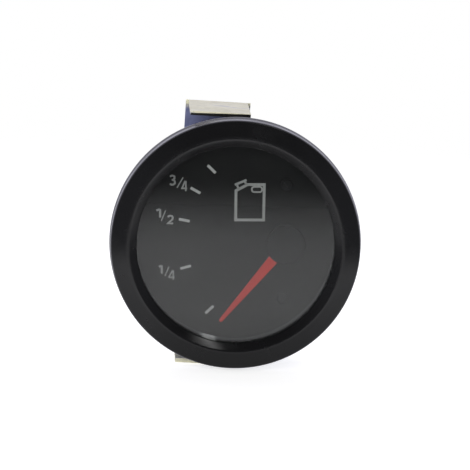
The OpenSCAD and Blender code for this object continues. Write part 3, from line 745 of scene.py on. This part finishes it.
def thread(material, inputs, rows):
    """A threaded rod at every point, along the Y axis, closed at both ends."""
    tree, given = new_tree("thread", inputs)
    grid = add(tree, "GeometryNodeMeshGrid", {"Size X": 1.0, "Size Y": 1.0, "Vertices X": TURN_STEPS + 1,
                                              "Vertices Y": rows})
    flat = axes_of(tree, add(tree, "GeometryNodeInputPosition").outputs["Position"])
    round_share = maths(tree, "ADD", flat["X"], 0.5)
    height = maths(tree, "MULTIPLY", maths(tree, "ADD", flat["Y"], 0.5), given["Length"])
    turns = maths(tree, "DIVIDE", height, given["Pitch"])
    ridge = maths(tree, "PINGPONG", maths(tree, "SUBTRACT", turns, round_share), 0.5)
    depth = ramp(tree, ridge, *FLANK_SPAN, given["Crest"], given["Root"])
    to_tip = maths(tree, "SUBTRACT", given["Length"], height)
    pointed = maths(tree, "MINIMUM", depth, maths(tree, "ADD", to_tip, given["Tip"]))
    inner = maths(tree, "LESS_THAN", maths(tree, "ABSOLUTE", flat["Y"]), 0.5 - 0.25 / rows)
    radius = maths(tree, "MULTIPLY", pointed, inner)
    angle = maths(tree, "MULTIPLY", round_share, 2 * math.pi)
    x = maths(tree, "MULTIPLY", radius, maths(tree, "COSINE", angle))
    z = maths(tree, "MULTIPLY", radius, maths(tree, "SINE", angle))
    bent = add(tree, "ShaderNodeCombineXYZ", {"X": x, "Y": height, "Z": z}).outputs["Vector"]
    rod = add(tree, "GeometryNodeSetPosition", {"Geometry": grid.outputs["Mesh"], "Position": bent})
    closed = add(tree, "GeometryNodeMergeByDistance", {"Geometry": rod.outputs["Geometry"],
                                                       "Distance": 0.002 * MM})
    placed = add(tree, "GeometryNodeInstanceOnPoints", {"Points": given["Geometry"],
                                                        "Instance": closed.outputs["Geometry"]})
    end_tree(tree, placed.outputs["Instances"], material)
    return tree


stud_high = reach("mounting_studs")[1]
CASE_BACK = reach("case_shell")[1].y
SHOULDER_R = stud_high.z - STUD_Z
SHOULDER_H = 0.8
OVERLAP = 0.1
CHAMFER = 0.3
AXIS_R = 0.01
shoulder_back = -(CASE_BACK + SHOULDER_H)
thread_start = CASE_BACK + SHOULDER_H - OVERLAP
thread_len = stud_high.y - thread_start
rows = round(thread_len / THREAD_PITCH * ROWS_PER_TURN)
stud_sizes = {"Length": thread_len * MM, "Pitch": THREAD_PITCH * MM, "Crest": STUD_R * MM,
              "Root": THREAD_ROOT * MM, "Tip": (THREAD_ROOT - OVERLAP) * MM}
stud_points = [(STUD_X, thread_start, side * STUD_Z) for side in (-1, 1)]
threads = grown("stud_threads", stud_points, thread(zinc, stud_sizes, rows), stud_sizes)
build = bmesh.new()
build.from_mesh(threads)
bmesh.ops.recalc_face_normals(build, faces=build.faces)
HEAD_H = 3.4
CASE_T = 0.6
RIVET_R = 1.2
RIVET_PROUD = 0.6
rivet_top = RIVET_PROUD - reach("circuit_board")[0].y
inner_low = -(CASE_BACK - CASE_T)
stud_head = [(AXIS_R, shoulder_back), (SHOULDER_R - CHAMFER, shoulder_back),
             (SHOULDER_R, shoulder_back + CHAMFER), (SHOULDER_R, -CASE_BACK), (STUD_R, -CASE_BACK),
             (STUD_R, inner_low), (SHOULDER_R, inner_low), (SHOULDER_R, inner_low + HEAD_H),
             (RIVET_R, inner_low + HEAD_H), (RIVET_R, rivet_top), (AXIS_R, rivet_top)]
for side in (-1, 1):
    spin(build, stud_head, 48, (STUD_X, side * STUD_Z))
studs = piece("threaded_studs", finished("threaded_studs", build, 50), zinc, "gauge")
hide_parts("mounting_studs")
print("thread rows", rows, "stud faces", len(studs.data.polygons))

# %% [markdown]
# ## Brass parts
# The knurled nuts, the bridge, the pillars and the bearings are turned or stamped brass. Turning leaves
# fine rings and handling dulls the ridges, so brass is bright and dull by turns. The blades are brass with
# a tin coat, which is greyer and softer.

# %% Brass and tinned brass
turned_brass = grained("turned_brass", ("#b7974f", "#cfae63"), 1.2, (0.25, 0.42), 0.01, Metallic=1.0)
tinned_brass = grained("tinned_brass", ("#b9b5a9", "#cdc9bd"), 0.9, (0.3, 0.45), 0.01, Metallic=1.0)
dress(turned_brass, "upper_nut", "lower_nut", "bridge_plate", "movement_pillars", "front_bearing",
      "rear_bearing", "bulb_base")
dress(tinned_brass, "supply_blade", "sender_blade", "earth_blade", "lamp_contact")
print("brass dressed")

# %% [markdown]
# ## Insulators
# The block round the blades is phenolic moulding powder with fine wood flour in it, which gives it a dull
# speckle. The circuit board and the lamp's disc are pressed paper fibre with long soft flecks, and the
# former inside is ivory nylon.

# %% Moulded and pressed insulators
dress(grained("wood_filled_phenolic", ("#1a1614", "#2a2421"), 0.35, (0.4, 0.6), 0.02), "terminal_insulator")
dress(grained("vulcanised_fibre", ("#6a4326", "#8a5c36"), 0.8, (0.6, 0.8), 0.03), "circuit_board",
      "lamp_insulator")
dress(grained("ivory_nylon", ("#ded8c4", "#e8e3d2"), 0.9, (0.4, 0.55), 0.01), "front_former", "rear_former")
dress(grained("glazed_ceramic", ("#b9a888", "#c9ba9b"), 0.6, (0.3, 0.5), 0.02), "series_resistor")
print("insulators dressed")

# %% [markdown]
# ## Movement inside the case
# The steel spindle turns a disc magnet between two crossed windings of enamelled wire. The wire lies in
# close turns 0.35 mm apart, so each winding's height is a wave across the direction that its turns stack
# in. Its colour follows the same wave, darker in the grooves and lighter on the crests: painted shade and
# painted highlight.

# %% Windings, magnets and steel
WIRE_PITCH = 0.35
WAVE_PERIOD = 0.314


def wound_wire(axis):
    """Enamelled copper wire in turns that stack along an axis, with painted shade and highlight."""
    material, tree, shader = surface("enamelled_copper_along_" + axis.lower(), "#8c4a26", 0.3, Metallic=1.0)
    turns = add(tree, "ShaderNodeTexWave",
                {"Vector": object_place(tree), "Scale": per_mm(WIRE_PITCH) * WAVE_PERIOD, "Distortion": 0.3,
                 "Detail": 0.0}, bands_direction=axis).outputs["Fac"]
    feed(tree, shader, {"Base Color": blend(tree, turns, "#4c2310", "#a55c33"),
                        "Normal": bump(tree, turns, 1.0, 0.1)})
    return material


dress(wound_wire("X"), "inner_winding")
dress(wound_wire("Z"), "outer_winding")
dress(grained("sintered_ferrite", ("#2b2b2d", "#3a3a3d"), 0.3, (0.45, 0.65), 0.02), "rotor_magnet",
      "return_magnet")
dress(grained("ground_mild_steel", ("#9a9a9c", "#b4b4b6"), 0.5, (0.25, 0.4), 0.01, Metallic=1.0), "spindle",
      "shield_cup")
print("movement dressed")

# %% [markdown]
# ## Floor, room and lamps
# The gauge was photographed against white. The room here is pale behind it and overhead at the back, dim in
# front, and nearly dark overhead in front. So the enamel's side wall catches the backdrop at a glancing
# angle while its face stays dark. The camera sees a white floor everywhere. Mirrors see it only as a strip
# that ends some way in front, because that is what the photograph's glass and bezel show: floor in the
# lower dial, and a dim room in the upper.

# %% Floor
FLOOR_HALF_W = 1.5
FLOOR_BACK = 1.2
FLOOR_FADE = (-0.392, -0.207)
STRIP_FADE = (0.12, 0.03)
STRIP_SPREAD = 0.06
STRIP_SHARES = (0.8, 0.98)
NEAR_RISE = (-0.23, -0.1)
SHADE_FADE = (-0.05, 0.0)
SHADE_SHARE = 0.5
FLOOR_GLOW = 0.25
SEEN_GLOW = 0.7
SEEN_FADE = (0.5, 0.15)


def pale_floor():
    """A pale matt floor: white to the camera, and a strip with soft edges in mirrors."""
    material, tree, shader = surface("pale_floor", "#f2f2f1", 0.9, **{"Emission Color": (1, 1, 1, 1)})
    place = object_place(tree)
    axes = axes_of(tree, place)
    camera_ray = add(tree, "ShaderNodeLightPath").outputs["Is Camera Ray"]
    glow = add(tree, "ShaderNodeMix", {0: camera_ray, 2: FLOOR_GLOW, 3: SEEN_GLOW}).outputs[0]
    feed(tree, shader, {"Emission Strength": glow,
                        "Normal": bump(tree, noise(tree, place, 3, 3.0), 0.1, 0.05)})
    along = ramp(tree, axes["Y"], *FLOOR_FADE, interpolation_type="SMOOTHSTEP")
    aside = maths(tree, "MULTIPLY_ADD", axes["Y"], -STRIP_SPREAD, maths(tree, "ABSOLUTE", axes["X"]))
    across = ramp(tree, aside, STRIP_FADE[0] + STRIP_SPREAD, STRIP_FADE[1] + STRIP_SPREAD)
    rising = ramp(tree, axes["Y"], *NEAR_RISE, *STRIP_SHARES)
    # Within 50 mm in front of the gauge the strip fades to half in mirrors: a painted shadow of the gauge.
    shaded = ramp(tree, axes["Y"], *SHADE_FADE, 1.0, SHADE_SHARE)
    mirrored = maths(tree, "MULTIPLY", maths(tree, "MULTIPLY", along, across),
                     maths(tree, "MULTIPLY", rising, shaded))
    away = add(tree, "ShaderNodeVectorMath", {0: place}, operation="LENGTH").outputs["Value"]
    near = ramp(tree, away, *SEEN_FADE, interpolation_type="SMOOTHSTEP")
    there = add(tree, "ShaderNodeMix", {0: camera_ray, 2: mirrored, 3: near}).outputs[0]
    mix_on_output(tree, there, add(tree, "ShaderNodeBsdfTransparent"), shader)
    return material


floor_z = cad_box[0][2]
floor_mesh = bpy.data.meshes.new("floor")
floor_mesh.from_pydata([(-FLOOR_HALF_W, FLOOR_FADE[0], floor_z), (FLOOR_HALF_W, FLOOR_FADE[0], floor_z),
                        (FLOOR_HALF_W, FLOOR_BACK, floor_z), (-FLOOR_HALF_W, FLOOR_BACK, floor_z)], [],
                       [(0, 1, 2, 3)])
floor_mesh.materials.append(pale_floor())
floor = bpy.data.objects.new("floor", floor_mesh)
bpy.context.scene.collection.objects.link(floor)
print("floor at", round(floor_z / MM, 2), "mm")

# %% Room
ROOM_FRONT = "#47484b"
ROOM_SIDE = "#5e5f65"
ROOM_BACK = "#e6e5f4"
SIDE_SPAN = (0.25, 0.7)
BACK_SPAN = (-0.1, 0.6)
CEILING_SPAN = (0.0, 0.4)
CEILING_SHARES = (0.03, 0.9)
HEIGHT_SPAN = (0.35, 0.8)


def room():
    """A world that is white to the camera, and a room with a pale back to mirrors and the light."""
    world = bpy.data.worlds.new("studio_room")
    world.use_nodes = True
    tree = world.node_tree
    tree.nodes.clear()
    axes = axes_of(tree, add(tree, "ShaderNodeTexCoord").outputs["Generated"])
    to_side = ramp(tree, maths(tree, "ABSOLUTE", axes["X"]), *SIDE_SPAN)
    front = blend(tree, to_side, ROOM_FRONT, ROOM_SIDE)
    walls = blend(tree, ramp(tree, axes["Y"], *BACK_SPAN), front, ROOM_BACK)
    ceiling = ramp(tree, axes["Y"], *CEILING_SPAN, *CEILING_SHARES)
    height = ramp(tree, axes["Z"], *HEIGHT_SPAN, 1.0, ceiling)
    lit = add(tree, "ShaderNodeVectorMath", {0: walls, 3: height}, operation="SCALE").outputs["Vector"]
    seen = blend(tree, add(tree, "ShaderNodeLightPath").outputs["Is Camera Ray"], lit, (1, 1, 1, 1))
    light = add(tree, "ShaderNodeBackground", {"Color": seen, "Strength": 1.0})
    add(tree, "ShaderNodeOutputWorld", {"Surface": light.outputs["Background"]})
    return world


bpy.context.scene.world = room()
print("room set")

# %% [markdown]
# Three lamps light it. A large softbox by the camera gives the even light on the dial, and another behind
# lights the top of the bracket. Both are kept out of mirrors, because the photograph's glass and enamel
# show neither. A strip overhead draws the streak on the lower part of the lip and on the spacer behind the
# glass.

# %% Lamps


def softbox(name, place, size, watts, tint="#ffffff", mirrored=True):
    """A rectangular lamp that faces the gauge, with its place and size in metres."""
    data = bpy.data.lights.new(name, "AREA")
    data.shape = "RECTANGLE"
    data.size, data.size_y = size
    data.energy = watts
    data.color = colour(tint)[:3]
    lamp = bpy.data.objects.new(name, data)
    bpy.context.scene.collection.objects.link(lamp)
    lamp.location = place
    lamp.rotation_euler = Vector(place).to_track_quat("Z", "Y").to_euler()
    lamp.visible_glossy = mirrored
    lamp.visible_transmission = mirrored
    return lamp


softbox("key", (-0.15, -1.05, 0.16), (0.6, 0.6), 13.4, mirrored=False)
softbox("behind", (-0.2, 0.7, 0.75), (0.6, 0.6), 3.2, mirrored=False)
softbox("overhead", (0.3, -0.23, 0.925), (0.34, 0.12), 0.5)
print("three lamps")

# %% [markdown]
# ## Finish

# %% The end
print("done")
